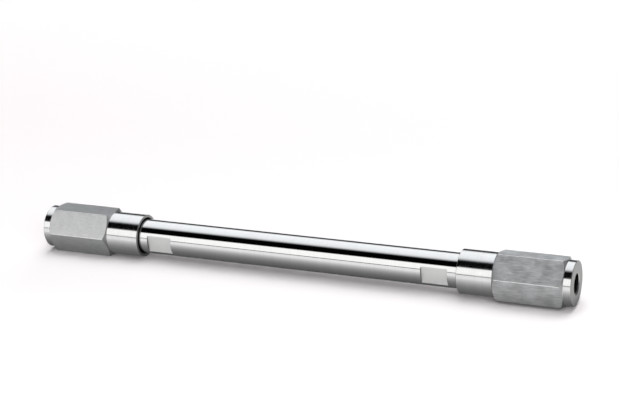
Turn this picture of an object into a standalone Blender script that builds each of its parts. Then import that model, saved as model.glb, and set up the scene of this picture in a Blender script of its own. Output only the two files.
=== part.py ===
"""A liquid chromatography column: a polished steel tube of packing between two hexagon end nuts.

Units are metres and +Z is up. The column lies along X at AXIS_HEIGHT over the surface z = 0, with
its inlet at -X and its outlet at +X. Both ends have the same pieces: they are modelled outwards
along +X, and the inlet's empty turns them to face -X.
"""

import math

import bmesh
import bpy

MM = 0.001

# Tube, with a threaded spigot at each end and a pair of wrench flats near each nut
TUBE_LENGTH = 100.0 * MM
TUBE_BORE = 4.6 * MM
TUBE_WALL = 1.4 * MM
SPIGOT_WALL = 1.2 * MM
SPIGOT_CHAMFER = 0.3 * MM
RELIEF_WALL = 0.9 * MM
RELIEF_WIDTH = 0.8 * MM
THREAD_RUN_OUT = 0.3 * MM
FLAT_DEPTH = 0.525 * MM
FLAT_LENGTH = 5.7 * MM
FLAT_SETBACK = 2.1 * MM
FLAT_TURN = math.radians(10.0)

# End nut, turned and milled from one hexagon bar
THREAD_ENGAGEMENT = 6.1 * MM
COLLAR_WALL = 0.6 * MM
COLLAR_LENGTH = 7.5 * MM
COLLAR_BEVEL = 0.25 * MM
COLLAR_INNER_BEVEL = 0.08 * MM
HEX_STEP = 0.1625 * MM
HEX_LENGTH = 14.5 * MM
HEX_CHAMFER_ANGLE = math.radians(30.0)
BOSS_LENGTH = 1.6 * MM
BOSS_BEVEL = 0.25 * MM
OUTLET_NUT_TURN = math.radians(-9.2)

# Port for a coned tube fitting
PORT_DIAMETER = 4.2 * MM
PORT_COUNTERSINK = 0.35 * MM
PORT_THREAD_DEPTH = 4.0 * MM
SEAT_LENGTH = 1.6 * MM
PILOT_DIAMETER = 1.65 * MM
PILOT_LENGTH = 0.5 * MM
FLOW_BORE = 0.8 * MM
PORT_WEB = 0.4 * MM

# Pieces inside each end
FRIT_THICKNESS = 1.2 * MM
FRIT_OVERLAP = 0.2 * MM
DISTRIBUTOR_THICKNESS = 0.7 * MM
DISTRIBUTOR_RECESS = 0.25 * MM
DISTRIBUTOR_RIM = 0.9 * MM
DISTRIBUTOR_HOLE = 0.5 * MM
DISTRIBUTOR_HOLES = 6
SEAL_THICKNESS = 0.4 * MM
SEAL_BORE = 1.6 * MM

# Clearances
SKIRT_CLEARANCE = 0.3 * MM
THREAD_CLEARANCE = 0.1 * MM
SEAT_GAP = 0.3 * MM
BORE_GAP = 0.15 * MM

# Facets round each kind of piece
TURNED_SIDES = 60
SMALL_SIDES = 16
HEX_SIDES = 6
SHARP_ANGLE = math.radians(28.0)
MERGE_DISTANCE = 0.0001 * MM
CUTTER_MARGIN = 1.0 * MM
BLANK_MARGIN = 0.05 * MM

# Radii that follow from the sizes above
BORE_RADIUS = TUBE_BORE / 2
TUBE_RADIUS = BORE_RADIUS + TUBE_WALL
SPIGOT_RADIUS = BORE_RADIUS + SPIGOT_WALL
RELIEF_RADIUS = BORE_RADIUS + RELIEF_WALL
CHAMBER_RADIUS = SPIGOT_RADIUS + THREAD_CLEARANCE
SKIRT_RADIUS = TUBE_RADIUS + SKIRT_CLEARANCE
COLLAR_RADIUS = SKIRT_RADIUS + COLLAR_WALL
HEX_INNER_RADIUS = COLLAR_RADIUS + HEX_STEP
HEX_CORNER_RADIUS = HEX_INNER_RADIUS / math.cos(math.pi / HEX_SIDES)
STACK_RADIUS = CHAMBER_RADIUS - BORE_GAP
FRIT_RADIUS = BORE_RADIUS + FRIT_OVERLAP

# Stations along each end, measured outwards from the middle of the tube
TUBE_END = TUBE_LENGTH / 2
FRIT_START = TUBE_END + SEAT_GAP
DISTRIBUTOR_START = FRIT_START + FRIT_THICKNESS + SEAT_GAP
SEAL_START = DISTRIBUTOR_START + DISTRIBUTOR_THICKNESS + SEAT_GAP
CHAMBER_FLOOR = SEAL_START + SEAL_THICKNESS + SEAT_GAP
PILOT_START = CHAMBER_FLOOR + PORT_WEB
SEAT_START = PILOT_START + PILOT_LENGTH
PORT_THREAD_START = SEAT_START + SEAT_LENGTH
NUT_FACE = PORT_THREAD_START + PORT_THREAD_DEPTH
HEX_END = NUT_FACE - BOSS_LENGTH
HEX_START = HEX_END - HEX_LENGTH
NUT_MOUTH = HEX_START - COLLAR_LENGTH
SKIRT_END = TUBE_END - THREAD_ENGAGEMENT
FLAT_END = NUT_MOUTH - FLAT_SETBACK

# The outlet nut's lowest corner touches the surface, and carries the axis at this height
CORNER_FROM_DOWN = math.pi / HEX_SIDES - abs(OUTLET_NUT_TURN)
AXIS_HEIGHT = HEX_CORNER_RADIUS * math.cos(CORNER_FROM_DOWN)


def clear_scene():
    """Remove the objects that the scene starts with."""
    for item in list(bpy.data.objects):
        bpy.data.objects.remove(item, do_unlink=True)


def make_material(name, colour, roughness, metallic):
    """Return a Principled material with one colour and finish."""
    material = bpy.data.materials.new(name)
    material.use_nodes = True
    shader = material.node_tree.nodes["Principled BSDF"]
    shader.inputs["Base Color"].default_value = (*colour, 1.0)
    shader.inputs["Roughness"].default_value = roughness
    shader.inputs["Metallic"].default_value = metallic
    return material


def add_object(name, shape, parent, material=None):
    """Put a finished bmesh into the scene as an object on its parent."""
    mesh = bpy.data.meshes.new(name)
    bmesh.ops.recalc_face_normals(shape, faces=shape.faces)
    shape.to_mesh(mesh)
    shape.free()
    mesh.shade_smooth()
    mesh.set_sharp_from_angle(angle=SHARP_ANGLE)
    item = bpy.data.objects.new(name, mesh)
    bpy.context.scene.collection.objects.link(item)
    item.parent = parent
    if material:
        mesh.materials.append(material)
    return item


def turned(profile, sides=TURNED_SIDES):
    """Return the solid that a closed profile of (x, radius) points sweeps about the X axis."""
    shape = bmesh.new()
    points = [shape.verts.new((x, 0.0, radius)) for x, radius in profile]
    for first, second in zip(points, points[1:] + points[:1]):
        shape.edges.new((first, second))
    sweep = shape.verts[:] + shape.edges[:]
    bmesh.ops.spin(
        shape, geom=sweep, cent=(0, 0, 0), axis=(1, 0, 0), angle=math.tau, steps=sides
    )
    bmesh.ops.remove_doubles(shape, verts=shape.verts, dist=MERGE_DISTANCE)
    return shape


def ring_profile(start, length, inner_radius, outer_radius):
    """Return the closed profile of a plain ring or washer."""
    end = start + length
    return [
        (start, inner_radius),
        (start, outer_radius),
        (end, outer_radius),
        (end, inner_radius),
    ]


def prism(sides, radius, start, length):
    """Return a prism along X whose first corner points along +Y."""
    shape = bmesh.new()
    corners = []
    for index in range(sides):
        angle = math.tau * index / sides
        corners.append(shape.verts.new((start, radius * math.cos(angle), radius * math.sin(angle))))
    face = shape.faces.new(corners)
    pushed = bmesh.ops.extrude_face_region(shape, geom=[face])
    tops = [item for item in pushed["geom"] if isinstance(item, bmesh.types.BMVert)]
    bmesh.ops.translate(shape, verts=tops, vec=(length, 0, 0))
    return shape


def block(low, high):
    """Return a box between two opposite corners."""
    shape = bmesh.new()
    bmesh.ops.create_cube(shape, size=1.0)
    for vert in shape.verts:
        vert.co = [
            top if side > 0 else bottom for side, bottom, top in zip(vert.co, low, high)
        ]
    return shape


def cut(target, cutter, operation="DIFFERENCE"):
    """Apply a cutter to a piece with a Boolean, and keep the cutter out of the renders."""
    cutter.hide_render = True
    cutter.display_type = "WIRE"
    modifier = target.modifiers.new(cutter.name, "BOOLEAN")
    modifier.operation = operation
    modifier.solver = "EXACT"
    modifier.object = cutter


def tube_profile():
    """Return the tube's closed section: body, thread reliefs, spigots and bore."""
    thread_start = SKIRT_END - THREAD_RUN_OUT
    outer = [
        (TUBE_END, SPIGOT_RADIUS - SPIGOT_CHAMFER),
        (TUBE_END - SPIGOT_CHAMFER, SPIGOT_RADIUS),
        (thread_start, SPIGOT_RADIUS),
        (thread_start, RELIEF_RADIUS),
        (thread_start - RELIEF_WIDTH, RELIEF_RADIUS),
        (thread_start - RELIEF_WIDTH, TUBE_RADIUS),
    ]
    mirrored = [(-x, radius) for x, radius in reversed(outer)]
    return outer + mirrored + [(-TUBE_END, BORE_RADIUS), (TUBE_END, BORE_RADIUS)]


def make_tube(axis, steel):
    """Make the tube, and mill a pair of wrench flats across it near each end."""
    tube = add_object("column_tube", turned(tube_profile()), axis, steel)
    flat_level = TUBE_RADIUS - FLAT_DEPTH
    reach = TUBE_RADIUS + CUTTER_MARGIN
    for end, direction in (("inlet", -1), ("outlet", 1)):
        near, far = sorted((direction * FLAT_END, direction * (FLAT_END - FLAT_LENGTH)))
        for side, sign in (("front", -1), ("back", 1)):
            low_y, high_y = sorted((sign * flat_level, sign * reach))
            shape = block((near, low_y, -reach), (far, high_y, reach))
            cutter = add_object(f"{end}_{side}_flat_cutter", shape, axis)
            cutter.rotation_euler.x = FLAT_TURN
            cut(tube, cutter)
    return tube


def make_bed(axis, packing):
    """Make the packed bed that fills the tube's bore."""
    radius = BORE_RADIUS - BORE_GAP
    shape = turned([(-TUBE_END, 0), (-TUBE_END, radius), (TUBE_END, radius), (TUBE_END, 0)])
    return add_object("packed_bed", shape, axis, packing)


def nut_outer_profile():
    """Return the nut's turned outside, from its mouth to its face."""
    blank_radius = HEX_CORNER_RADIUS + BLANK_MARGIN
    chamfer = (blank_radius - COLLAR_RADIUS) * math.tan(HEX_CHAMFER_ANGLE)
    return [
        (NUT_MOUTH, COLLAR_RADIUS - COLLAR_BEVEL),
        (NUT_MOUTH + COLLAR_BEVEL, COLLAR_RADIUS),
        (HEX_START, COLLAR_RADIUS),
        (HEX_START + chamfer, blank_radius),
        (HEX_END - chamfer, blank_radius),
        (HEX_END, COLLAR_RADIUS),
        (NUT_FACE - BOSS_BEVEL, COLLAR_RADIUS),
        (NUT_FACE, COLLAR_RADIUS - BOSS_BEVEL),
    ]


def nut_inner_profile():
    """Return the nut's bore, from the port in its face to the skirt at its mouth."""
    port_radius = PORT_DIAMETER / 2
    pilot_radius = PILOT_DIAMETER / 2
    flow_radius = FLOW_BORE / 2
    skirt_step = SKIRT_RADIUS - CHAMBER_RADIUS
    return [
        (NUT_FACE, port_radius + PORT_COUNTERSINK),
        (NUT_FACE - PORT_COUNTERSINK, port_radius),
        (PORT_THREAD_START, port_radius),
        (SEAT_START, pilot_radius),
        (PILOT_START, pilot_radius),
        (PILOT_START, flow_radius),
        (CHAMBER_FLOOR, flow_radius),
        (CHAMBER_FLOOR, CHAMBER_RADIUS),
        (SKIRT_END, CHAMBER_RADIUS),
        (SKIRT_END - skirt_step, SKIRT_RADIUS),
        (NUT_MOUTH + COLLAR_INNER_BEVEL, SKIRT_RADIUS),
        (NUT_MOUTH, SKIRT_RADIUS + COLLAR_INNER_BEVEL),
    ]


def make_end_nut(name, end, turn, steel):
    """Make a nut: a turned blank that is kept only where the hexagon bar had metal."""
    nut = add_object(name, turned(nut_outer_profile() + nut_inner_profile()), end, steel)
    nut.rotation_euler.x = turn
    start = NUT_MOUTH - CUTTER_MARGIN
    length = NUT_FACE - NUT_MOUTH + 2 * CUTTER_MARGIN
    bar = add_object(f"{name}_bar", prism(HEX_SIDES, HEX_CORNER_RADIUS, start, length), nut)
    cut(nut, bar, "INTERSECT")
    return nut


def make_frit(prefix, end, sintered, polymer):
    """Make the porous disc that closes the bed, and the polymer ring pressed round it."""
    disc = ring_profile(FRIT_START, FRIT_THICKNESS, 0, FRIT_RADIUS)
    add_object(f"{prefix}_frit", turned(disc), end, sintered)
    ring = ring_profile(FRIT_START, FRIT_THICKNESS, FRIT_RADIUS + BORE_GAP, STACK_RADIUS)
    add_object(f"{prefix}_frit_ring", turned(ring), end, polymer)


def make_distributor(prefix, end, steel):
    """Make the drilled disc that spreads the flow from the port over the frit."""
    name = f"{prefix}_distributor"
    finish = DISTRIBUTOR_START + DISTRIBUTOR_THICKNESS
    recess_radius = STACK_RADIUS - DISTRIBUTOR_RIM
    profile = [
        (DISTRIBUTOR_START, 0),
        (DISTRIBUTOR_START, STACK_RADIUS),
        (finish, STACK_RADIUS),
        (finish, recess_radius),
        (finish - DISTRIBUTOR_RECESS, recess_radius),
        (finish - DISTRIBUTOR_RECESS, 0),
    ]
    disc = add_object(name, turned(profile), end, steel)
    start = DISTRIBUTOR_START - CUTTER_MARGIN
    length = DISTRIBUTOR_THICKNESS + 2 * CUTTER_MARGIN
    for index in range(DISTRIBUTOR_HOLES):
        angle = math.tau * index / DISTRIBUTOR_HOLES
        drill = prism(SMALL_SIDES, DISTRIBUTOR_HOLE / 2, start, length)
        offset = (0, recess_radius / 2 * math.cos(angle), recess_radius / 2 * math.sin(angle))
        bmesh.ops.translate(drill, verts=drill.verts, vec=offset)
        cut(disc, add_object(f"{name}_drill_{index + 1}", drill, end))


def make_seal(prefix, end, polymer):
    """Make the washer that seals the distributor to the floor of the nut."""
    washer = ring_profile(SEAL_START, SEAL_THICKNESS, SEAL_BORE / 2, STACK_RADIUS)
    add_object(f"{prefix}_seal_washer", turned(washer), end, polymer)


def make_end(prefix, axis, facing, nut_turn, finishes):
    """Make one end of the column, turned about Z to face along the axis."""
    end = bpy.data.objects.new(f"{prefix}_end", None)
    bpy.context.scene.collection.objects.link(end)
    end.parent = axis
    end.rotation_euler.z = facing
    make_end_nut(f"{prefix}_end_nut", end, nut_turn, finishes["nut"])
    make_seal(prefix, end, finishes["polymer"])
    make_distributor(prefix, end, finishes["distributor"])
    make_frit(prefix, end, finishes["sintered"], finishes["polymer"])


def main():
    """Build the column."""
    clear_scene()
    finishes = {
        "tube": make_material("polished_tube_steel", (0.78, 0.78, 0.78), 0.08, 1.0),
        "nut": make_material("machined_nut_steel", (0.68, 0.69, 0.70), 0.32, 1.0),
        "distributor": make_material("fine_turned_steel", (0.66, 0.66, 0.66), 0.28, 1.0),
        "sintered": make_material("sintered_steel", (0.42, 0.42, 0.41), 0.75, 1.0),
        "polymer": make_material("natural_polymer", (0.62, 0.52, 0.38), 0.45, 0.0),
        "packing": make_material("white_packing", (0.90, 0.90, 0.88), 0.90, 0.0),
    }
    axis = bpy.data.objects.new("column_axis", None)
    bpy.context.scene.collection.objects.link(axis)
    axis.location.z = AXIS_HEIGHT
    make_tube(axis, finishes["tube"])
    make_bed(axis, finishes["packing"])
    make_end("inlet", axis, math.pi, 0.0, finishes)
    make_end("outlet", axis, 0.0, OUTLET_NUT_TURN, finishes)
    bpy.context.view_layer.update()


main()
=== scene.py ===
"""Looks of a liquid chromatography column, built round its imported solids.

The tube and the two end nuts are turned again with fine sections, milled flats and real threads.
The pieces inside keep their solids and get their finishes. Units are metres, the column lies
along X with its inlet at -X, and +Z is up.
"""

import logging
import math
from collections.abc import Callable, Sequence
from dataclasses import dataclass
from enum import Enum

import bpy
from mathutils import Matrix, Vector


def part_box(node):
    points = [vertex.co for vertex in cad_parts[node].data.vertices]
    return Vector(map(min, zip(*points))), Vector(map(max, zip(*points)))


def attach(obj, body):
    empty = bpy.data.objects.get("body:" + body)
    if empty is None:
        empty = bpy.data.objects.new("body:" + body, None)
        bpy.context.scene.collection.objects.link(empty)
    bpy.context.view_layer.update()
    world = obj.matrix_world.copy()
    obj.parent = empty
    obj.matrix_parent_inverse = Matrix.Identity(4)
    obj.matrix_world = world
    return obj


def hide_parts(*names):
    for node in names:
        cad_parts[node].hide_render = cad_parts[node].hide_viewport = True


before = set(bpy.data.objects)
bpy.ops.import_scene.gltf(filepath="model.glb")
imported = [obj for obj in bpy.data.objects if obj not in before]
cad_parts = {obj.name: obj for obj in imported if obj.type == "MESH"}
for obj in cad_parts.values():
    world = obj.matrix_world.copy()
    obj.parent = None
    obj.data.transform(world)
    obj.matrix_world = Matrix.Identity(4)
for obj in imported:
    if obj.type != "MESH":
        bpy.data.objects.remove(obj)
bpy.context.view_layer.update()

MM = 0.001
MICRON = 0.000001
AXIS_HEIGHT = (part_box("column_tube")[0].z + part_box("column_tube")[1].z) / 2
TURNED_SIDES = 192
FILLET_STEPS = 5
SHARP_ANGLE = math.radians(25.0)
MERGE_DISTANCE = 0.00001 * MM
CUTTER_MARGIN = 1.0 * MM
SLIT_SIDES = 4
NOISE_LOW = 0.3
NOISE_HIGH = 0.7
NEW_STOP = 0.5

log = logging.getLogger("column")

Colour = tuple[float, float, float]


class Surface(Enum):
    """The surfaces of the steel pieces, each with its material's name."""

    POLISHED = "polished_steel"
    BRIGHT_TURNED = "bright_turned_steel"
    SATIN_FLAT = "satin_hexagon_flat"
    COARSE_FLAT = "coarse_hexagon_flat"
    BURNISHED_EDGE = "burnished_hexagon_edge"
    TURNED_FACE_PAINTED_SHADE = "turned_face"
    CHAMFER_PAINTED_SHADE = "turned_chamfer"
    MILLED_FLAT = "milled_wrench_flat"
    MILLED_WALL_PAINTED_SHADE = "milled_shoulder"
    THREAD = "cut_thread"
    TAPPED_PAINTED_SHADE = "tapped_thread"
    COUNTERSINK = "turned_countersink"
    BORE = "reamed_bore"


class Lay(Enum):
    """The direction of a surface's tool marks."""

    AROUND = "rings round the column's axis, one after another along it"
    ALONG = "lines along the column"
    FACING = "concentric rings on an end face"
    EVEN = "grain with no direction"


Skins = dict[Surface, bpy.types.Material]


class Recipe:
    """The node tree of one new material, built from the shader backwards."""

    def __init__(self, name: str) -> None:
        """Start a material that holds only its shader and its output."""
        self.material = bpy.data.materials.new(name)
        self.material.use_nodes = True
        self.tree = self.material.node_tree
        self.shader = self.tree.nodes["Principled BSDF"]

    def add(self, kind: str, **settings: object) -> bpy.types.Node:
        """Add a node.

        Args:
            kind: The node's type name.
            **settings: Properties of the node, by name.

        Returns:
            The new node.
        """
        node = self.tree.nodes.new(kind)
        for key, value in settings.items():
            setattr(node, key, value)
        return node

    def join(self, source: bpy.types.NodeSocket, target: bpy.types.NodeSocket) -> None:
        """Link an output to an input."""
        self.tree.links.new(source, target)

    def position(self, scale: tuple[float, float, float]) -> bpy.types.NodeSocket:
        """Give the surface's place from the middle of the column's axis.

        Args:
            scale: How many pattern units go to a metre along X, Y and Z.

        Returns:
            The scaled position.
        """
        place = self.add("ShaderNodeTexCoord")
        centred = self.add("ShaderNodeMapping")
        centred.inputs["Location"].default_value = (0.0, 0.0, -AXIS_HEIGHT * scale[2])
        centred.inputs["Scale"].default_value = scale
        self.join(place.outputs["Object"], centred.inputs["Vector"])
        return centred.outputs["Vector"]

    def distance_from_axis(self, scale: float) -> bpy.types.NodeSocket:
        """Give the surface's distance from the column's axis.

        Args:
            scale: How many pattern units go to a metre.

        Returns:
            The scaled distance.
        """
        length = self.add("ShaderNodeVectorMath", operation="LENGTH")
        self.join(self.position((0.0, scale, scale)), length.inputs[0])
        return length.outputs["Value"]

    def noise(
        self, source: bpy.types.NodeSocket, detail: float, line: bool = False
    ) -> bpy.types.NodeSocket:
        """Add a noise pattern of unit size.

        Args:
            source: The position that it reads, or a distance where line is true.
            detail: Its number of finer layers.
            line: Whether it runs along one number only.

        Returns:
            The pattern, from 0 to 1.
        """
        node = self.add("ShaderNodeTexNoise", noise_dimensions="1D" if line else "3D")
        node.inputs["Scale"].default_value = 1.0
        node.inputs["Detail"].default_value = detail
        self.join(source, node.inputs["W" if line else "Vector"])
        return node.outputs[0]

    def remap(
        self, source: bpy.types.NodeSocket, given: tuple[float, float], wanted: tuple[float, float]
    ) -> bpy.types.NodeSocket:
        """Map one range of a value onto another, held at both ends.

        Args:
            source: The value.
            given: The range that it has.
            wanted: The range that it gets.

        Returns:
            The mapped value.
        """
        node = self.add("ShaderNodeMapRange")
        for side, start, end in (("Min", given[0], wanted[0]), ("Max", given[1], wanted[1])):
            node.inputs[f"From {side}"].default_value = start
            node.inputs[f"To {side}"].default_value = end
        self.join(source, node.inputs["Value"])
        return node.outputs["Result"]

    def spread(self, source: bpy.types.NodeSocket, low: float, high: float) -> bpy.types.NodeSocket:
        """Stretch the middle of a noise pattern over a range.

        Args:
            source: The pattern.
            low: The value where the pattern is weakest.
            high: The value where it is strongest.

        Returns:
            The stretched value.
        """
        return self.remap(source, (NOISE_LOW, NOISE_HIGH), (low, high))

    def average(
        self, first: bpy.types.NodeSocket, second: bpy.types.NodeSocket, share: float
    ) -> bpy.types.NodeSocket:
        """Mix two patterns.

        Args:
            first: One pattern.
            second: The other pattern.
            share: How much of the mix is the second one.

        Returns:
            The mixed pattern.
        """
        node = self.add("ShaderNodeMix", data_type="FLOAT")
        node.inputs[0].default_value = share
        self.join(first, node.inputs[2])
        self.join(second, node.inputs[3])
        return node.outputs[0]

    def tone(self, source: bpy.types.NodeSocket, dark: Colour, light: Colour) -> None:
        """Colour the surface between two tones.

        Args:
            source: The pattern that picks the tone.
            dark: The tone where the pattern is weak.
            light: The tone where the pattern is strong.
        """
        node = self.add("ShaderNodeMix", data_type="RGBA")
        node.inputs[6].default_value = (*dark, 1.0)
        node.inputs[7].default_value = (*light, 1.0)
        self.join(self.spread(source, 0.0, 1.0), node.inputs[0])
        self.join(node.outputs[2], self.shader.inputs["Base Color"])

    def relief(self, heights: Sequence[tuple[bpy.types.NodeSocket, float]]) -> None:
        """Raise and lower the surface by patterns.

        Args:
            heights: Each pattern, with its depth in metres.
        """
        normal = None
        for source, depth in heights:
            node = self.add("ShaderNodeBump")
            node.inputs["Distance"].default_value = depth
            self.join(source, node.inputs["Height"])
            if normal:
                self.join(normal, node.inputs["Normal"])
            normal = node.outputs["Normal"]
        self.join(normal, self.shader.inputs["Normal"])


def fill_ramp(ramp: bpy.types.Node, stops: Sequence[tuple[float, float, Colour]]) -> None:
    """Set a colour ramp's stops.

    Args:
        ramp: The ramp's node.
        stops: Each stop's place, brightness and tint, in order.
    """
    elements = ramp.color_ramp.elements
    while len(elements) < len(stops):
        elements.new(NEW_STOP)
    for element, (place, value, tint) in zip(elements, stops):
        element.position = place
        element.color = (*(value * part for part in tint), 1.0)


@dataclass(frozen=True)
class SteelFinish:
    """Bare stainless steel with tool marks over a faint cloud of wear."""

    dark: Colour
    light: Colour
    smoothest: float
    roughest: float
    lay: Lay
    mark_pitch: float
    mark_depth: float
    cloud_size: float
    cloud_depth: float
    cloud_share: float = 0.5
    stretch: float = 40.0
    mark_detail: float = 3.0
    cloud_detail: float = 4.0

    def marks(self, recipe: Recipe) -> bpy.types.NodeSocket:
        """Make the pattern of the tool marks.

        Args:
            recipe: The material that the pattern goes into.

        Returns:
            The pattern, from 0 to 1.
        """
        fine = 1.0 / self.mark_pitch
        slow = fine / self.stretch
        if self.lay is Lay.FACING:
            return recipe.noise(recipe.distance_from_axis(fine), self.mark_detail, line=True)
        scale = {
            Lay.AROUND: (fine, slow, slow),
            Lay.ALONG: (slow, fine, fine),
            Lay.EVEN: (fine, fine, fine),
        }[self.lay]
        return recipe.noise(recipe.position(scale), self.mark_detail)

    def make(self, name: str) -> bpy.types.Material:
        """Return the material under a name."""
        recipe = Recipe(name)
        marks = self.marks(recipe)
        around = 1.0 / self.cloud_size
        clouds = recipe.noise(recipe.position((around, around, around)), self.cloud_detail)
        both = recipe.average(marks, clouds, self.cloud_share)
        recipe.tone(both, self.dark, self.light)
        recipe.join(recipe.spread(both, self.smoothest, self.roughest), recipe.shader.inputs["Roughness"])
        recipe.relief([(clouds, self.cloud_depth), (marks, self.mark_depth)])
        recipe.shader.inputs["Metallic"].default_value = 1.0
        return recipe.material


@dataclass(frozen=True)
class GrainFinish:
    """A solid made of grains or drawn from a melt: sintered steel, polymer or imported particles."""

    dark: Colour
    light: Colour
    smoothest: float
    roughest: float
    grain_size: float
    grain_depth: float
    metallic: float = 0.0
    grain_detail: float = 2.0
    cloud_detail: float = 3.0
    cloud_stretch: float = 9.0
    cloud_share: float = 0.4

    def make(self, name: str) -> bpy.types.Material:
        """Return the material under a name."""
        recipe = Recipe(name)
        fine = 1.0 / self.grain_size
        grains = recipe.noise(recipe.position((fine, fine, fine)), self.grain_detail)
        broad = fine / self.cloud_stretch
        clouds = recipe.noise(recipe.position((broad, broad, broad)), self.cloud_detail)
        both = recipe.average(grains, clouds, self.cloud_share)
        recipe.tone(both, self.dark, self.light)
        recipe.join(recipe.spread(grains, self.smoothest, self.roughest), recipe.shader.inputs["Roughness"])
        recipe.relief([(grains, self.grain_depth)])
        recipe.shader.inputs["Metallic"].default_value = self.metallic
        return recipe.material


STEEL_FINISHES = {
    Surface.POLISHED: SteelFinish(
        dark=(0.56, 0.56, 0.56),
        light=(0.60, 0.60, 0.60),
        smoothest=0.03,
        roughest=0.08,
        lay=Lay.AROUND,
        mark_pitch=0.30 * MM,
        mark_depth=0.03 * MICRON,
        cloud_size=2.5 * MM,
        cloud_depth=0.35 * MICRON,
    ),
    Surface.BRIGHT_TURNED: SteelFinish(
        dark=(0.54, 0.54, 0.54),
        light=(0.60, 0.60, 0.60),
        smoothest=0.08,
        roughest=0.17,
        lay=Lay.AROUND,
        mark_pitch=0.22 * MM,
        mark_depth=0.10 * MICRON,
        cloud_size=1.8 * MM,
        cloud_depth=0.5 * MICRON,
    ),
    Surface.SATIN_FLAT: SteelFinish(
        dark=(0.585, 0.59, 0.598),
        light=(0.74, 0.745, 0.755),
        smoothest=0.27,
        roughest=0.34,
        lay=Lay.ALONG,
        mark_pitch=0.20 * MM,
        mark_depth=3.0 * MICRON,
        cloud_size=1.4 * MM,
        cloud_depth=6.0 * MICRON,
        cloud_share=0.45,
        stretch=5.0,
    ),
    Surface.COARSE_FLAT: SteelFinish(
        dark=(0.43, 0.435, 0.443),
        light=(0.765, 0.77, 0.78),
        smoothest=0.44,
        roughest=0.60,
        lay=Lay.ALONG,
        mark_pitch=0.30 * MM,
        mark_depth=6.0 * MICRON,
        cloud_size=2.4 * MM,
        cloud_depth=8.0 * MICRON,
        cloud_share=0.50,
        stretch=6.0,
    ),
    Surface.BURNISHED_EDGE: SteelFinish(
        dark=(0.60, 0.60, 0.60),
        light=(0.70, 0.70, 0.70),
        smoothest=0.22,
        roughest=0.36,
        lay=Lay.ALONG,
        mark_pitch=0.10 * MM,
        mark_depth=0.5 * MICRON,
        cloud_size=0.9 * MM,
        cloud_depth=2.0 * MICRON,
    ),
    # Turned faces and shoulders: the rings are real tool marks, the dark colour is painted shade.
    Surface.TURNED_FACE_PAINTED_SHADE: SteelFinish(
        dark=(0.25, 0.25, 0.245),
        light=(0.31, 0.31, 0.305),
        smoothest=0.42,
        roughest=0.54,
        lay=Lay.FACING,
        mark_pitch=0.14 * MM,
        mark_depth=1.5 * MICRON,
        cloud_size=1.4 * MM,
        cloud_depth=1.0 * MICRON,
        cloud_share=0.3,
    ),
    # The hexagon's turned chamfers: the rings are real tool marks, the dark colour is painted shade.
    Surface.CHAMFER_PAINTED_SHADE: SteelFinish(
        dark=(0.28, 0.28, 0.28),
        light=(0.40, 0.40, 0.40),
        smoothest=0.32,
        roughest=0.44,
        lay=Lay.AROUND,
        mark_pitch=0.10 * MM,
        mark_depth=0.8 * MICRON,
        cloud_size=0.7 * MM,
        cloud_depth=1.0 * MICRON,
    ),
    Surface.MILLED_FLAT: SteelFinish(
        dark=(0.80, 0.80, 0.795),
        light=(0.86, 0.86, 0.855),
        smoothest=0.76,
        roughest=0.84,
        lay=Lay.EVEN,
        mark_pitch=0.08 * MM,
        mark_depth=0.8 * MICRON,
        cloud_size=1.2 * MM,
        cloud_depth=3.0 * MICRON,
    ),
    # Walls at the ends of the wrench flats: their dark colour is painted shade.
    Surface.MILLED_WALL_PAINTED_SHADE: SteelFinish(
        dark=(0.16, 0.16, 0.16),
        light=(0.24, 0.24, 0.24),
        smoothest=0.30,
        roughest=0.42,
        lay=Lay.EVEN,
        mark_pitch=0.08 * MM,
        mark_depth=0.5 * MICRON,
        cloud_size=0.6 * MM,
        cloud_depth=0.5 * MICRON,
    ),
    Surface.THREAD: SteelFinish(
        dark=(0.46, 0.46, 0.455),
        light=(0.60, 0.60, 0.595),
        smoothest=0.20,
        roughest=0.32,
        lay=Lay.AROUND,
        mark_pitch=0.08 * MM,
        mark_depth=0.6 * MICRON,
        cloud_size=0.8 * MM,
        cloud_depth=1.0 * MICRON,
    ),
    # Threads in the port and chamber: the rings are real tool marks, the very dark colour is painted shade
    # for the deep holes.
    Surface.TAPPED_PAINTED_SHADE: SteelFinish(
        dark=(0.11, 0.11, 0.105),
        light=(0.19, 0.185, 0.18),
        smoothest=0.26,
        roughest=0.38,
        lay=Lay.AROUND,
        mark_pitch=0.08 * MM,
        mark_depth=0.6 * MICRON,
        cloud_size=0.8 * MM,
        cloud_depth=1.0 * MICRON,
    ),
    Surface.COUNTERSINK: SteelFinish(
        dark=(0.44, 0.44, 0.435),
        light=(0.54, 0.54, 0.535),
        smoothest=0.36,
        roughest=0.48,
        lay=Lay.AROUND,
        mark_pitch=0.08 * MM,
        mark_depth=0.6 * MICRON,
        cloud_size=0.6 * MM,
        cloud_depth=1.0 * MICRON,
    ),
    Surface.BORE: SteelFinish(
        dark=(0.48, 0.48, 0.475),
        light=(0.58, 0.58, 0.575),
        smoothest=0.16,
        roughest=0.26,
        lay=Lay.AROUND,
        mark_pitch=0.12 * MM,
        mark_depth=0.4 * MICRON,
        cloud_size=1.2 * MM,
        cloud_depth=0.6 * MICRON,
    ),
}


@dataclass(frozen=True)
class Station:
    """A point of a turned section, its fillet, and the surface of the band that follows it."""

    x: float
    radius: float
    surface: Surface
    fillet: float = 0.0


def select_only(item: bpy.types.Object) -> None:
    """Make one object active, with nothing else selected."""
    bpy.ops.object.select_all(action="DESELECT")
    item.select_set(True)
    bpy.context.view_layer.objects.active = item


def apply_placement(item: bpy.types.Object) -> None:
    """Move an object's place, turn and size into its mesh."""
    select_only(item)
    bpy.ops.object.transform_apply(location=True, rotation=True, scale=True)


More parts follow.
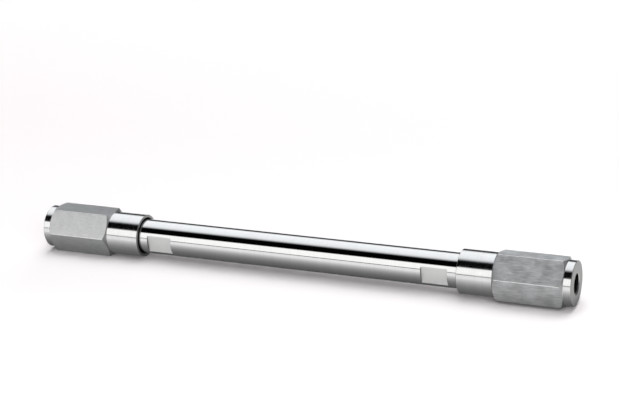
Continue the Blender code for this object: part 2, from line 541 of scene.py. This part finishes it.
def edit_edges(item: bpy.types.Object, wanted: Callable[[Vector, Vector], bool]) -> None:
    """Enter edit mode with some edges selected.

    Args:
        item: The object to edit.
        wanted: Says whether the edge between two points is selected.
    """
    select_only(item)
    bpy.context.tool_settings.mesh_select_mode = (False, True, False)
    mesh = item.data
    for part in (mesh.polygons, mesh.edges, mesh.vertices):
        part.foreach_set("select", [False] * len(part))
    for edge in mesh.edges:
        first, second = (mesh.vertices[index].co for index in edge.vertices)
        edge.select = wanted(first, second)
    bpy.ops.object.mode_set(mode="EDIT")


def filleted(section: Sequence[Station]) -> list[Station]:
    """Round the corners of a closed section.

    Args:
        section: The section's stations in order.

    Returns:
        The stations, with an arc of points in place of each one that has a fillet.
    """
    points = []
    for index, station in enumerate(section):
        corner = Vector((station.x, station.radius))
        before, after = section[index - 1], section[(index + 1) % len(section)]
        arriving = (corner - Vector((before.x, before.radius))).normalized()
        leaving = (Vector((after.x, after.radius)) - corner).normalized()
        turn = arriving.angle_signed(leaving, 0.0)
        if not station.fillet or abs(turn) < SHARP_ANGLE / FILLET_STEPS:
            points.append(station)
            continue
        start = corner - arriving * station.fillet * math.tan(abs(turn) / 2)
        side = Vector((arriving.y, -arriving.x)) * math.copysign(station.fillet, turn)
        centre = start + side
        for step in range(FILLET_STEPS + 1):
            angle = -turn * step / FILLET_STEPS
            spot = centre + Matrix.Rotation(angle, 2) @ -side
            points.append(Station(spot.x, spot.y, station.surface))
    return points


def turned(name: str, section: Sequence[Station], skins: Skins) -> bpy.types.Object:
    """Turn a closed section about the X axis.

    Args:
        name: The new piece's name.
        section: The section's stations in order.
        skins: The material of each surface.

    Returns:
        The closed solid, with each band in its own material.
    """
    points = filleted(section)
    first = points[0]
    bpy.ops.object.select_all(action="DESELECT")
    bpy.ops.mesh.primitive_circle_add(
        vertices=TURNED_SIDES,
        radius=first.radius,
        fill_type="NOTHING",
        location=(first.x, 0.0, 0.0),
        rotation=(0.0, math.pi / 2, 0.0),
    )
    item = bpy.context.object
    item.name = name
    apply_placement(item)
    edit_edges(item, lambda start, end: True)
    for last, point in zip(points, points[1:]):
        step = (point.x - last.x, 0.0, 0.0)
        growth = point.radius / last.radius
        bpy.ops.mesh.extrude_region_move(TRANSFORM_OT_translate={"value": step})
        bpy.ops.transform.resize(value=(1.0, growth, growth), center_override=(point.x, 0.0, 0.0))
    bpy.ops.mesh.select_all(action="DESELECT")
    bpy.ops.mesh.select_non_manifold(
        extend=False,
        use_wire=False,
        use_boundary=True,
        use_multi_face=False,
        use_non_contiguous=False,
        use_verts=False,
    )
    bpy.ops.mesh.bridge_edge_loops()
    bpy.ops.mesh.select_all(action="SELECT")
    bpy.ops.mesh.normals_make_consistent(inside=False)
    bpy.ops.object.mode_set(mode="OBJECT")
    surfaces = list(dict.fromkeys(point.surface for point in points))
    for surface in surfaces:
        item.data.materials.append(skins[surface])
    for polygon in item.data.polygons:
        band = min(polygon.index // TURNED_SIDES, len(points) - 1)
        polygon.material_index = surfaces.index(points[band].surface)
    return item


def combine(target: bpy.types.Object, tool: bpy.types.Object, operation: str) -> None:
    """Cut a piece with another shape, which leaves its own material on the cut.

    Args:
        target: The piece that is cut.
        tool: The closed shape that cuts it, which is then deleted.
        operation: DIFFERENCE or INTERSECT.
    """
    modifier = target.modifiers.new(tool.name, "BOOLEAN")
    modifier.operation = operation
    modifier.solver = "EXACT"
    modifier.material_mode = "TRANSFER"
    modifier.object = tool
    select_only(target)
    bpy.ops.object.modifier_apply(modifier=modifier.name)
    bpy.data.objects.remove(tool, do_unlink=True)


def throw_no_light(item: bpy.types.Object) -> None:
    """Keep the soft boxes that a bright piece reflects from lighting the table."""
    item.visible_diffuse = False


def close_seams(item: bpy.types.Object) -> None:
    """Join the points that the cuts left on top of one another, and close the slits beside them."""
    edit_edges(item, lambda first, second: True)
    bpy.ops.mesh.select_all(action="SELECT")
    bpy.ops.mesh.remove_doubles(threshold=MICRON)
    bpy.ops.mesh.fill_holes(sides=SLIT_SIDES)
    bpy.ops.object.mode_set(mode="OBJECT")


def finish_shading(item: bpy.types.Object) -> None:
    """Shade a piece smooth up to its sharp edges, with its large faces kept flat."""
    close_seams(item)
    select_only(item)
    bpy.ops.object.shade_smooth_by_angle(angle=SHARP_ANGLE)
    modifier = item.modifiers.new("even_normals", "WEIGHTED_NORMAL")
    modifier.keep_sharp = True
    bpy.ops.object.modifier_apply(modifier=modifier.name)


def copied(item: bpy.types.Object, name: str) -> bpy.types.Object:
    """Return a copy of a piece that has its own mesh."""
    twin = item.copy()
    twin.data = item.data.copy()
    twin.name = name
    twin.data.name = name
    bpy.context.scene.collection.objects.link(twin)
    return twin


@dataclass(frozen=True)
class ThreadCutter:
    """The helical groove of a right-hand 60 degree thread round the X axis."""

    pitch: float
    mouth_radius: float
    root_radius: float
    start: float
    end: float
    flank_angle: float = math.radians(30.0)
    root_share: float = 0.125
    widest_share: float = 0.97
    overlap: float = 0.12 * MM
    steps_per_turn: int = 96

    def make(self, name: str, skin: bpy.types.Material) -> bpy.types.Object:
        """Sweep the groove's section along the helix.

        Args:
            name: The cutter's name.
            skin: The material that the cut leaves.

        Returns:
            The closed cutter.
        """
        inward = math.copysign(1.0, self.root_radius - self.mouth_radius)
        mouth = self.mouth_radius - inward * self.overlap
        depth = abs(self.root_radius - mouth)
        root_width = self.root_share * self.pitch
        mouth_width = root_width + 2 * depth * math.tan(self.flank_angle)
        mouth_width = min(mouth_width, self.widest_share * self.pitch)
        middle = (mouth + self.root_radius) / 2
        bpy.ops.object.select_all(action="DESELECT")
        bpy.ops.mesh.primitive_plane_add(
            size=1.0, location=(self.start, 0.0, middle), rotation=(math.pi / 2, 0.0, 0.0)
        )
        item = bpy.context.object
        item.name = name
        item.scale = (mouth_width, depth, 1.0)
        apply_placement(item)
        edit_edges(item, lambda first, second: min(first.z * inward, second.z * inward) > middle * inward)
        bpy.ops.transform.resize(
            value=(root_width / mouth_width, 1.0, 1.0), center_override=(self.start, 0.0, middle)
        )
        bpy.ops.mesh.select_all(action="SELECT")
        bpy.ops.mesh.delete(type="ONLY_FACE")
        bpy.ops.object.mode_set(mode="OBJECT")
        turns = math.ceil((self.end - self.start) / self.pitch)
        modifier = item.modifiers.new("helix", "SCREW")
        modifier.axis = "X"
        modifier.screw_offset = self.pitch
        modifier.iterations = turns
        modifier.steps = self.steps_per_turn
        modifier.render_steps = self.steps_per_turn
        modifier.merge_threshold = MERGE_DISTANCE
        bpy.ops.object.modifier_apply(modifier=modifier.name)
        edit_edges(item, lambda first, second: True)
        bpy.ops.mesh.fill_holes(sides=0)
        bpy.ops.mesh.select_all(action="SELECT")
        bpy.ops.mesh.normals_make_consistent(inside=False)
        bpy.ops.object.mode_set(mode="OBJECT")
        item.data.materials.clear()
        item.data.materials.append(skin)
        return item


@dataclass(frozen=True)
class ColumnTube:
    """The polished tube: threaded spigots, thread reliefs, wrench flats and a reamed bore."""

    skins: Skins
    end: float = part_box("column_tube")[1].x
    radius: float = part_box("column_tube")[1].y
    bore_radius: float = 2.3 * MM
    spigot_radius: float = 3.5 * MM
    spigot_chamfer: float = 0.3 * MM
    relief_radius: float = 3.2 * MM
    relief_width: float = 0.8 * MM
    thread_length: float = 6.4 * MM
    thread_pitch: float = 0.75 * MM
    edge: float = 0.08 * MM
    flat_depth: float = 0.525 * MM
    flat_length: float = 5.7 * MM
    flat_end: float = 34.3 * MM
    flat_turn: float = math.radians(10.0)
    flat_fillet: float = 0.10 * MM
    wall_angle: float = math.radians(30.0)
    root_step: float = 0.02 * MM

    def section(self) -> list[Station]:
        """Return the tube's closed section, from its left bore edge to its right one."""
        thread_start = self.end - self.thread_length
        shoulder = thread_start - self.relief_width
        ring = self.flat_end + CUTTER_MARGIN / 2
        inner_ring = self.flat_end - self.flat_length - CUTTER_MARGIN / 2
        face, body = Surface.TURNED_FACE_PAINTED_SHADE, Surface.POLISHED
        right = [
            (inner_ring, self.radius, 0.0, body),
            (ring, self.radius, 0.0, body),
            (shoulder, self.radius, self.edge, face),
            (shoulder, self.relief_radius, self.edge, face),
            (thread_start, self.relief_radius, 0.0, face),
            (thread_start, self.spigot_radius, 0.0, Surface.THREAD),
            (self.end - self.spigot_chamfer, self.spigot_radius, 0.0, face),
            (self.end, self.spigot_radius - self.spigot_chamfer, 0.0, face),
            (self.end, self.bore_radius, 0.0, Surface.BORE),
        ]
        left = []
        for index in range(len(right) - 1, -1, -1):
            x, radius, fillet, _ = right[index]
            surface = right[index - 1][3] if index else body
            left.append(Station(-x, radius, surface, fillet))
        return left + [Station(x, radius, surface, fillet) for x, radius, fillet, surface in right]

    def flat_cutter(self, end: int, side: int) -> bpy.types.Object:
        """Make the block that mills one wrench flat.

        Args:
            end: 1 for the outlet's end of the tube, -1 for the inlet's.
            side: 1 for the back flat, -1 for the front one.

        Returns:
            The block, with its lower edges rounded as a worn cutter leaves them.
        """
        level = self.radius - self.flat_depth
        height = self.flat_depth + CUTTER_MARGIN
        middle = (end * (self.flat_end - self.flat_length / 2), side * (level + height / 2), 0.0)
        bpy.ops.object.select_all(action="DESELECT")
        bpy.ops.mesh.primitive_cube_add(size=1.0, location=middle)
        block = bpy.context.object
        block.scale = (self.flat_length, height, 2 * self.radius + CUTTER_MARGIN)
        apply_placement(block)
        edit_edges(
            block,
            lambda first, second: max(abs(first.y), abs(second.y)) < level + height / 2
            and abs(first.x - second.x) < MERGE_DISTANCE,
        )
        bpy.ops.mesh.bevel(offset=self.flat_fillet, segments=3, affect="EDGES")
        bpy.ops.object.mode_set(mode="OBJECT")
        for surface in (Surface.MILLED_FLAT, Surface.MILLED_WALL_PAINTED_SHADE):
            block.data.materials.append(self.skins[surface])
        for polygon in block.data.polygons:
            polygon.material_index = int(abs(polygon.normal.x) > math.sin(self.wall_angle))
        block.rotation_euler.x = self.flat_turn
        apply_placement(block)
        return block

    def spigot_thread(self, end: int) -> bpy.types.Object:
        """Make the cutter of one spigot's thread.

        Args:
            end: 1 for the outlet's end of the tube, -1 for the inlet's.

        Returns:
            The helical cutter.
        """
        cutter = ThreadCutter(
            pitch=self.thread_pitch,
            mouth_radius=self.spigot_radius,
            root_radius=self.relief_radius + self.root_step,
            start=self.end - self.thread_length - self.relief_width / 2,
            end=self.end + self.thread_pitch,
        ).make("spigot_groove", self.skins[Surface.THREAD])
        if end < 0:
            cutter.rotation_euler.z = math.pi
            apply_placement(cutter)
        return cutter

    def build(self) -> bpy.types.Object:
        """Return the finished tube, riding on the column."""
        tube = turned("polished_tube", self.section(), self.skins)
        for end in (-1, 1):
            combine(tube, self.spigot_thread(end), "DIFFERENCE")
            for side in (-1, 1):
                combine(tube, self.flat_cutter(end, side), "DIFFERENCE")
        tube.location.z = AXIS_HEIGHT
        apply_placement(tube)
        finish_shading(tube)
        throw_no_light(tube)
        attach(tube, "column")
        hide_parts("column_tube")
        return tube


@dataclass(frozen=True)
class EndNut:
    """An end nut: turned collar and boss, hexagon, tapped port and tapped chamber."""

    skins: Skins
    mouth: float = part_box("outlet_end_nut")[0].x
    face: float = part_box("outlet_end_nut")[1].x
    across_flats: float = 9.525 * MM
    collar_radius: float = 4.6 * MM
    collar_length: float = 7.5 * MM
    collar_bevel: float = 0.10 * MM
    mouth_bevel: float = 0.08 * MM
    boss_length: float = 1.6 * MM
    boss_bevel: float = 0.10 * MM
    edge: float = 0.05 * MM
    root_fillet: float = 0.08 * MM
    chamfer_angle: float = math.radians(36.0)
    corner_round: float = 0.10 * MM
    skirt_radius: float = 4.0 * MM
    chamber_radius: float = 3.6 * MM
    chamber_floor: float = 53.5 * MM
    chamber_thread_root: float = 3.86 * MM
    chamber_thread_end: float = 49.6 * MM
    chamber_pitch: float = 0.75 * MM
    flow_radius: float = 0.4 * MM
    pilot_radius: float = 0.825 * MM
    pilot_start: float = 53.9 * MM
    seat_start: float = 54.4 * MM
    port_start: float = 56.0 * MM
    port_radius: float = 2.02 * MM
    port_thread_root: float = 2.41 * MM
    port_pitch: float = 25.4 * MM / 32
    countersink: float = 0.14 * MM

    @property
    def hexagon(self) -> tuple[float, float]:
        """Where the hexagon starts and ends."""
        return self.mouth + self.collar_length, self.face - self.boss_length

    @property
    def corner_radius(self) -> float:
        """The hexagon's radius at its corners."""
        return self.across_flats / 2 / math.cos(math.pi / 6)

    def outer_section(self) -> list[Station]:
        """Return the turned outside, from the mouth to the port's face."""
        start, end = self.hexagon
        blank = self.corner_radius + self.edge
        chamfer = (blank - self.collar_radius) * math.tan(self.chamfer_angle)
        face, bright, slope = Surface.TURNED_FACE_PAINTED_SHADE, Surface.BRIGHT_TURNED, Surface.CHAMFER_PAINTED_SHADE
        return [
            Station(self.mouth, self.collar_radius - self.collar_bevel, face, self.edge),
            Station(self.mouth + self.collar_bevel, self.collar_radius, bright, self.edge),
            Station(start, self.collar_radius, slope, self.root_fillet),
            Station(start + chamfer, blank, slope),
            Station(end - chamfer, blank, slope),
            Station(end, self.collar_radius, bright, self.root_fillet),
            Station(self.face - self.boss_bevel, self.collar_radius, face, self.edge),
            Station(self.face, self.collar_radius - self.boss_bevel, face, self.edge),
        ]

    def inner_section(self) -> list[Station]:
        """Return the bores, from the port's face back to the mouth."""
        skirt_end = self.hexagon[0]
        step = self.skirt_radius - self.chamber_radius
        face, bore, cone = Surface.TURNED_FACE_PAINTED_SHADE, Surface.BORE, Surface.COUNTERSINK
        return [
            Station(self.face, self.port_radius + self.countersink, cone, self.edge / 2),
            Station(self.face - self.countersink, self.port_radius, Surface.TAPPED_PAINTED_SHADE),
            Station(self.port_start, self.port_radius, face),
            Station(self.seat_start, self.pilot_radius, bore),
            Station(self.pilot_start, self.pilot_radius, bore),
            Station(self.pilot_start, self.flow_radius, bore),
            Station(self.chamber_floor, self.flow_radius, face),
            Station(self.chamber_floor, self.chamber_radius, bore),
            Station(skirt_end, self.chamber_radius, face),
            Station(skirt_end - step, self.skirt_radius, bore),
            Station(self.mouth + self.mouth_bevel, self.skirt_radius, face),
            Station(self.mouth, self.skirt_radius + self.mouth_bevel, face),
        ]

    def hexagon_bar(self) -> bpy.types.Object:
        """Return the bar that the nut is cut from, with its corners rounded."""
        length = self.face - self.mouth + 2 * CUTTER_MARGIN
        bpy.ops.object.select_all(action="DESELECT")
        bpy.ops.mesh.primitive_cylinder_add(
            vertices=6,
            radius=self.corner_radius,
            depth=length,
            location=((self.face + self.mouth) / 2, 0.0, 0.0),
            rotation=(0.0, math.pi / 2, 0.0),
        )
        bar = bpy.context.object
        apply_placement(bar)
        bar.data.materials.append(self.skins[Surface.SATIN_FLAT])
        bar.data.materials.append(self.skins[Surface.BURNISHED_EDGE])
        edit_edges(bar, lambda first, second: abs(first.x - second.x) > length / 2)
        bpy.ops.mesh.bevel(offset=self.corner_round, segments=4, affect="EDGES", material=1)
        bpy.ops.object.mode_set(mode="OBJECT")
        return bar

    def build(self) -> bpy.types.Object:
        """Return one finished nut on the X axis, its face towards +X."""
        nut = turned("turned_nut", self.outer_section() + self.inner_section(), self.skins)
        combine(nut, self.hexagon_bar(), "INTERSECT")
        port = ThreadCutter(
            pitch=self.port_pitch,
            mouth_radius=self.port_radius,
            root_radius=self.port_thread_root,
            start=self.port_start + self.port_pitch / 2,
            end=self.face + self.port_pitch,
        )
        combine(nut, port.make("port_groove", self.skins[Surface.TAPPED_PAINTED_SHADE]), "DIFFERENCE")
        chamber = ThreadCutter(
            pitch=self.chamber_pitch,
            mouth_radius=self.chamber_radius,
            root_radius=self.chamber_thread_root,
            start=self.hexagon[0] - self.chamber_pitch,
            end=self.chamber_thread_end,
        )
        combine(nut, chamber.make("chamber_groove", self.skins[Surface.TAPPED_PAINTED_SHADE]), "DIFFERENCE")
        return nut

    def fit(
        self, nut: bpy.types.Object, end: str, facing: float, turn: float, flats: Surface
    ) -> bpy.types.Object:
        """Put a copy of the nut on one end of the column.

        Args:
            nut: The finished nut on the X axis.
            end: inlet or outlet.
            facing: How far the nut is turned about Z.
            turn: How far it is screwed round from the inlet nut's place, about X.
            flats: The surface that the bar left on this nut's flats.

        Returns:
            The fitted nut, riding on its body.
        """
        fitted = copied(nut, f"{end}_machined_nut")
        fitted.matrix_world = (
            Matrix.Translation((0.0, 0.0, AXIS_HEIGHT))
            @ Matrix.Rotation(facing, 4, "Z")
            @ Matrix.Rotation(turn, 4, "X")
        )
        apply_placement(fitted)
        finish_shading(fitted)
        throw_no_light(fitted)
        for place in fitted.material_slots:
            if place.material == self.skins[Surface.SATIN_FLAT]:
                place.material = self.skins[flats]
        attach(fitted, f"{end}_nut")
        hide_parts(f"{end}_end_nut")
        return fitted


@dataclass(frozen=True)
class InnerPieces:
    """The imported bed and, at each end, the frit, its ring, the distributor and the seal washer."""

    packing: GrainFinish = GrainFinish(
        dark=(0.80, 0.80, 0.77),
        light=(0.92, 0.92, 0.90),
        smoothest=0.85,
        roughest=1.0,
        grain_size=0.06 * MM,
        grain_depth=12.0 * MICRON,
    )
    sintered: GrainFinish = GrainFinish(
        dark=(0.26, 0.26, 0.25),
        light=(0.52, 0.52, 0.50),
        smoothest=0.50,
        roughest=0.80,
        grain_size=0.05 * MM,
        grain_depth=18.0 * MICRON,
        metallic=1.0,
    )
    polymer: GrainFinish = GrainFinish(
        dark=(0.52, 0.42, 0.29),
        light=(0.63, 0.53, 0.39),
        smoothest=0.36,
        roughest=0.50,
        grain_size=0.15 * MM,
        grain_depth=2.0 * MICRON,
    )
    drilled: SteelFinish = SteelFinish(
        dark=(0.54, 0.54, 0.535),
        light=(0.66, 0.66, 0.655),
        smoothest=0.18,
        roughest=0.30,
        lay=Lay.FACING,
        mark_pitch=0.10 * MM,
        mark_depth=1.0 * MICRON,
        cloud_size=0.9 * MM,
        cloud_depth=0.8 * MICRON,
    )

    def dress(self) -> list[str]:
        """Give each solid inside the column its finish.

        Returns:
            The names of the dressed solids.
        """
        sintered = self.sintered.make("sintered_steel")
        polymer = self.polymer.make("natural_polymer")
        drilled = self.drilled.make("fine_turned_steel")
        looks = {"packed_bed": self.packing.make("packed_silica")}
        for end in ("inlet", "outlet"):
            looks[f"{end}_frit"] = sintered
            looks[f"{end}_frit_ring"] = polymer
            looks[f"{end}_distributor"] = drilled
            looks[f"{end}_seal_washer"] = polymer
        for name, material in looks.items():
            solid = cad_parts[name]
            throw_no_light(solid)
            for place in solid.material_slots:
                place.material = material
        return list(looks)


@dataclass(frozen=True)
class Panel:
    """A soft light panel that lights the table, between two angles about the column's axis."""

    name: str
    lowest: float
    highest: float
    brightness: float
    colour: Colour = (1.0, 1.0, 1.0)
    distance: float = 2.0
    shift: float = 0.0
    width_share: float = 0.8

    def hang(self) -> None:
        """Make the panel's light, which the steel doesn't reflect."""
        data = bpy.data.lights.new(self.name, "AREA")
        data.shape = "RECTANGLE"
        middle = (self.lowest + self.highest) / 2
        height = 2 * self.distance * math.tan(self.highest - middle)
        width = self.width_share * self.distance
        data.size, data.size_y = width, height
        data.energy = self.brightness * math.pi * width * height
        data.color = self.colour
        data.cycles.use_multiple_importance_sampling = False
        lamp = bpy.data.objects.new(self.name, data)
        bpy.context.scene.collection.objects.link(lamp)
        reach = (self.shift, -self.distance * math.cos(middle), self.distance * math.sin(middle))
        lamp.location = reach
        lamp.rotation_euler = (-Vector(reach)).to_track_quat("-Z", "Y").to_euler()
        lamp.visible_glossy = False
        lamp.visible_camera = False


@dataclass(frozen=True)
class Studio:
    """A white table under long soft boxes that run beside the column, and the camera."""

    lens: float = 95.81
    sensor: float = 36.0
    camera_place: tuple[float, float, float] = (0.13668, -0.29760, 0.12392)
    aim: tuple[float, float, float] = (0.00316, 0.0, 0.01567)
    roll: float = math.radians(-2.366)
    table_size: float = 4.0
    table_slope: float = 0.003695
    table_touch: float = 44.4 * MM
    table_colour: Colour = (0.94, 0.912, 0.92)
    table_roughness: float = 0.9
    table_shine: float = 0.1
    table_glow: float = 0.055
    far_glow: float = 0.18
    glow_start: float = 90.0 * MM
    glow_end: float = 280.0 * MM
    # The card is a glowing sheet of painted shade that only the steel reflects; its tones grade by distance
    # from the column.
    card_drop: float = 0.01 * MM
    card_brightness: float = 1.3
    card_reach: float = 25.0 * MM
    card_shade_tones: tuple[tuple[float, float], ...] = (
        (0.0, 0.07),
        (2.2, 0.12),
        (4.0, 0.18),
        (5.8, 0.26),
        (8.2, 0.40),
        (12.2, 0.63),
        (22.0, 1.0),
    )
    card_end_stretch: float = 4.0
    card_inlet_end: float = -66.0 * MM
    box_strength: float = 1.62
    box_front_tint: Colour = (1.0, 1.0, 0.985)
    box_back_tint: Colour = (0.97, 0.995, 1.015)
    box_back_start: float = 60.0
    box_end: float = 0.72
    room_start: float = 0.88
    room_share: float = 0.12
    bands: tuple[tuple[float, float], ...] = (
        (-2.2, 1.0),
        (0.4, 0.12),
        (3.6, 0.12),
        (4.6, 1.0),
        (36.5, 1.0),
        (40.5, 0.0005),
        (72.0, 0.0005),
        (77.0, 0.16),
        (81.0, 0.48),
        (89.0, 0.80),
        (98.0, 0.90),
        (130.0, 1.0),
        (146.0, 0.86),
        (151.0, 0.05),
        (178.0, 0.05),
        (180.0, 0.3),
    )
    panels: tuple[Panel, ...] = (
        Panel("front_panel", math.radians(18.0), math.radians(48.0), 4.8, distance=0.25, shift=0.15),
        Panel("high_front_panel", math.radians(48.0), math.radians(75.0), 2.3),
        Panel("top_panel", math.radians(75.0), math.radians(108.0), 3.3),
        Panel("high_back_panel", math.radians(108.0), math.radians(135.0), 2.0),
        Panel("low_back_panel", math.radians(155.0), math.radians(180.0), 4.3, (1.0, 0.95, 0.965)),
    )

    def set_camera(self) -> None:
        """Make the scene's camera, aimed and rolled as the photograph's was."""
        data = bpy.data.cameras.new("studio_camera")
        data.lens = self.lens
        data.sensor_width = self.sensor
        camera = bpy.data.objects.new("studio_camera", data)
        bpy.context.scene.collection.objects.link(camera)
        place = Vector(self.camera_place)
        look = (Vector(self.aim) - place).to_track_quat("-Z", "Y").to_matrix().to_4x4()
        camera.matrix_world = Matrix.Translation(place) @ look @ Matrix.Rotation(self.roll, 4, "Z")
        bpy.context.scene.camera = camera

    def set_boxes(self) -> None:
        """Surround the steel with long soft boxes, by the angle about the column's axis.

        The angle runs from the front horizon over the top to the back one. The boxes end in a dark
        room towards both ends of the column.
        """
        world = bpy.data.worlds.new("soft_boxes")
        world.use_nodes = True
        world.cycles_visibility.diffuse = False
        bpy.context.scene.world = world
        nodes, links = world.node_tree.nodes, world.node_tree.links
        background = nodes["Background"]
        place = nodes.new("ShaderNodeTexCoord")
        parts = nodes.new("ShaderNodeSeparateXYZ")
        links.new(place.outputs["Generated"], parts.inputs[0])
        forward = nodes.new("ShaderNodeMath")
        forward.operation = "MULTIPLY"
        forward.inputs[1].default_value = -1.0
        links.new(parts.outputs["Y"], forward.inputs[0])
        angle = nodes.new("ShaderNodeMath")
        angle.operation = "ARCTAN2"
        links.new(parts.outputs["Z"], angle.inputs[0])
        links.new(forward.outputs[0], angle.inputs[1])
        share = nodes.new("ShaderNodeMapRange")
        share.inputs["From Min"].default_value = -math.pi
        share.inputs["From Max"].default_value = math.pi
        links.new(angle.outputs[0], share.inputs["Value"])
        ramp = nodes.new("ShaderNodeValToRGB")
        links.new(share.outputs["Result"], ramp.inputs["Fac"])
        links.new(ramp.outputs["Color"], background.inputs["Color"])
        stops = []
        for degrees, value in self.bands:
            tint = self.box_front_tint if degrees < self.box_back_start else self.box_back_tint
            stops.append(((math.radians(degrees) + math.pi) / math.tau, value, tint))
        fill_ramp(ramp, stops)
        sideways = nodes.new("ShaderNodeMath")
        sideways.operation = "ABSOLUTE"
        links.new(parts.outputs["X"], sideways.inputs[0])
        fade = nodes.new("ShaderNodeMapRange")
        fade.interpolation_type = "SMOOTHSTEP"
        fade.inputs["From Min"].default_value = self.box_end
        fade.inputs["From Max"].default_value = self.room_start
        fade.inputs["To Min"].default_value = self.box_strength
        fade.inputs["To Max"].default_value = self.box_strength * self.room_share
        links.new(sideways.outputs[0], fade.inputs["Value"])
        links.new(fade.outputs["Result"], background.inputs["Strength"])
        bpy.context.scene.view_settings.view_transform = "Standard"

    def lay_sheet(self, name: str, drop: float) -> bpy.types.Object:
        """Lay a sheet that both nuts touch, one on its flat and the other on a corner.

        Args:
            name: The sheet's name.
            drop: How far it lies under the column.

        Returns:
            The sheet.
        """
        bpy.ops.object.select_all(action="DESELECT")
        bpy.ops.mesh.primitive_plane_add(
            size=self.table_size,
            location=(self.table_touch, 0.0, -drop),
            rotation=(0.0, math.atan(self.table_slope), 0.0),
        )
        sheet = bpy.context.object
        sheet.name = name
        return sheet

    def set_table(self) -> None:
        """Lay the white table with a glow of painted light, standing in for the light that the steel and
        the room throw on it, weaker near the column than far from it.
        """
        table = self.lay_sheet("white_table", 0.0)
        recipe = Recipe("white_table")
        recipe.shader.inputs["Base Color"].default_value = (*self.table_colour, 1.0)
        recipe.shader.inputs["Roughness"].default_value = self.table_roughness
        recipe.shader.inputs["Specular IOR Level"].default_value = self.table_shine
        recipe.shader.inputs["Emission Color"].default_value = (*self.table_colour, 1.0)
        away = recipe.distance_from_axis(scale=1.0)
        glow = recipe.remap(away, (self.glow_start, self.glow_end), (self.table_glow, self.far_glow))
        recipe.join(glow, recipe.shader.inputs["Emission Strength"])
        table.data.materials.append(recipe.material)
        table.visible_glossy = False

    def set_shade_card(self) -> None:
        """Lay a glowing card that only the steel reflects, painted with the table's shade: dark under the
        column and light far from it.
        """
        card = self.lay_sheet("painted_shade_card", self.card_drop)
        recipe = Recipe("painted_shade_card")
        place = recipe.add("ShaderNodeNewGeometry")
        outlet_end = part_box("outlet_end_nut")[1].x
        steps = (
            ("SUBTRACT", ((outlet_end + self.card_inlet_end) / 2, 0.0, 0.0)),
            ("ABSOLUTE", None),
            ("SUBTRACT", ((outlet_end - self.card_inlet_end) / 2, 0.0, 0.0)),
            ("MAXIMUM", (0.0, 0.0, 0.0)),
            ("MULTIPLY", (self.card_end_stretch, 1.0, 1.0)),
        )
        spot = place.outputs["Position"]
        for operation, value in steps:
            step = recipe.add("ShaderNodeVectorMath", operation=operation)
            recipe.join(spot, step.inputs[0])
            if value:
                step.inputs[1].default_value = value
            spot = step.outputs["Vector"]
        reach = recipe.add("ShaderNodeVectorMath", operation="LENGTH")
        recipe.join(spot, reach.inputs[0])
        share = recipe.add("ShaderNodeMath", operation="DIVIDE")
        share.inputs[1].default_value = self.card_reach
        recipe.join(reach.outputs["Value"], share.inputs[0])
        ramp = recipe.add("ShaderNodeValToRGB")
        recipe.join(share.outputs[0], ramp.inputs["Fac"])
        white = (1.0, 1.0, 1.0)
        fill_ramp(ramp, [(far * MM / self.card_reach, tone, white) for far, tone in self.card_shade_tones])
        recipe.join(ramp.outputs["Color"], recipe.shader.inputs["Emission Color"])
        recipe.shader.inputs["Emission Strength"].default_value = self.card_brightness
        recipe.shader.inputs["Base Color"].default_value = (0.0, 0.0, 0.0, 1.0)
        recipe.shader.inputs["Specular IOR Level"].default_value = 0.0
        card.data.materials.append(recipe.material)
        card.visible_camera = False
        card.visible_diffuse = False
        card.visible_shadow = False

    def set_up(self) -> None:
        """Make the camera, the table, the card of painted shade and the lights."""
        self.set_camera()
        self.set_boxes()
        self.set_table()
        self.set_shade_card()
        for panel in self.panels:
            panel.hang()


def main() -> None:
    """Set the studio, build the tube and the nuts, and dress the pieces inside."""
    logging.basicConfig(level=logging.INFO, format="%(name)s: %(message)s")
    Studio().set_up()
    skins = {surface: finish.make(surface.value) for surface, finish in STEEL_FINISHES.items()}
    tube = ColumnTube(skins).build()
    log.info("%s has %d faces", tube.name, len(tube.data.polygons))
    maker = EndNut(skins)
    nut = maker.build()
    fits = (
        ("inlet", math.pi, 0.0, Surface.SATIN_FLAT),
        ("outlet", 0.0, math.radians(-9.2), Surface.COARSE_FLAT),
    )
    for end, facing, turn, flats in fits:
        fitted = maker.fit(nut, end, facing, turn, flats)
        log.info("%s has %d faces", fitted.name, len(fitted.data.polygons))
    bpy.data.objects.remove(nut, do_unlink=True)
    for name in InnerPieces().dress():
        log.info("%s keeps its solid", name)


if __name__ == "__main__":
    main()
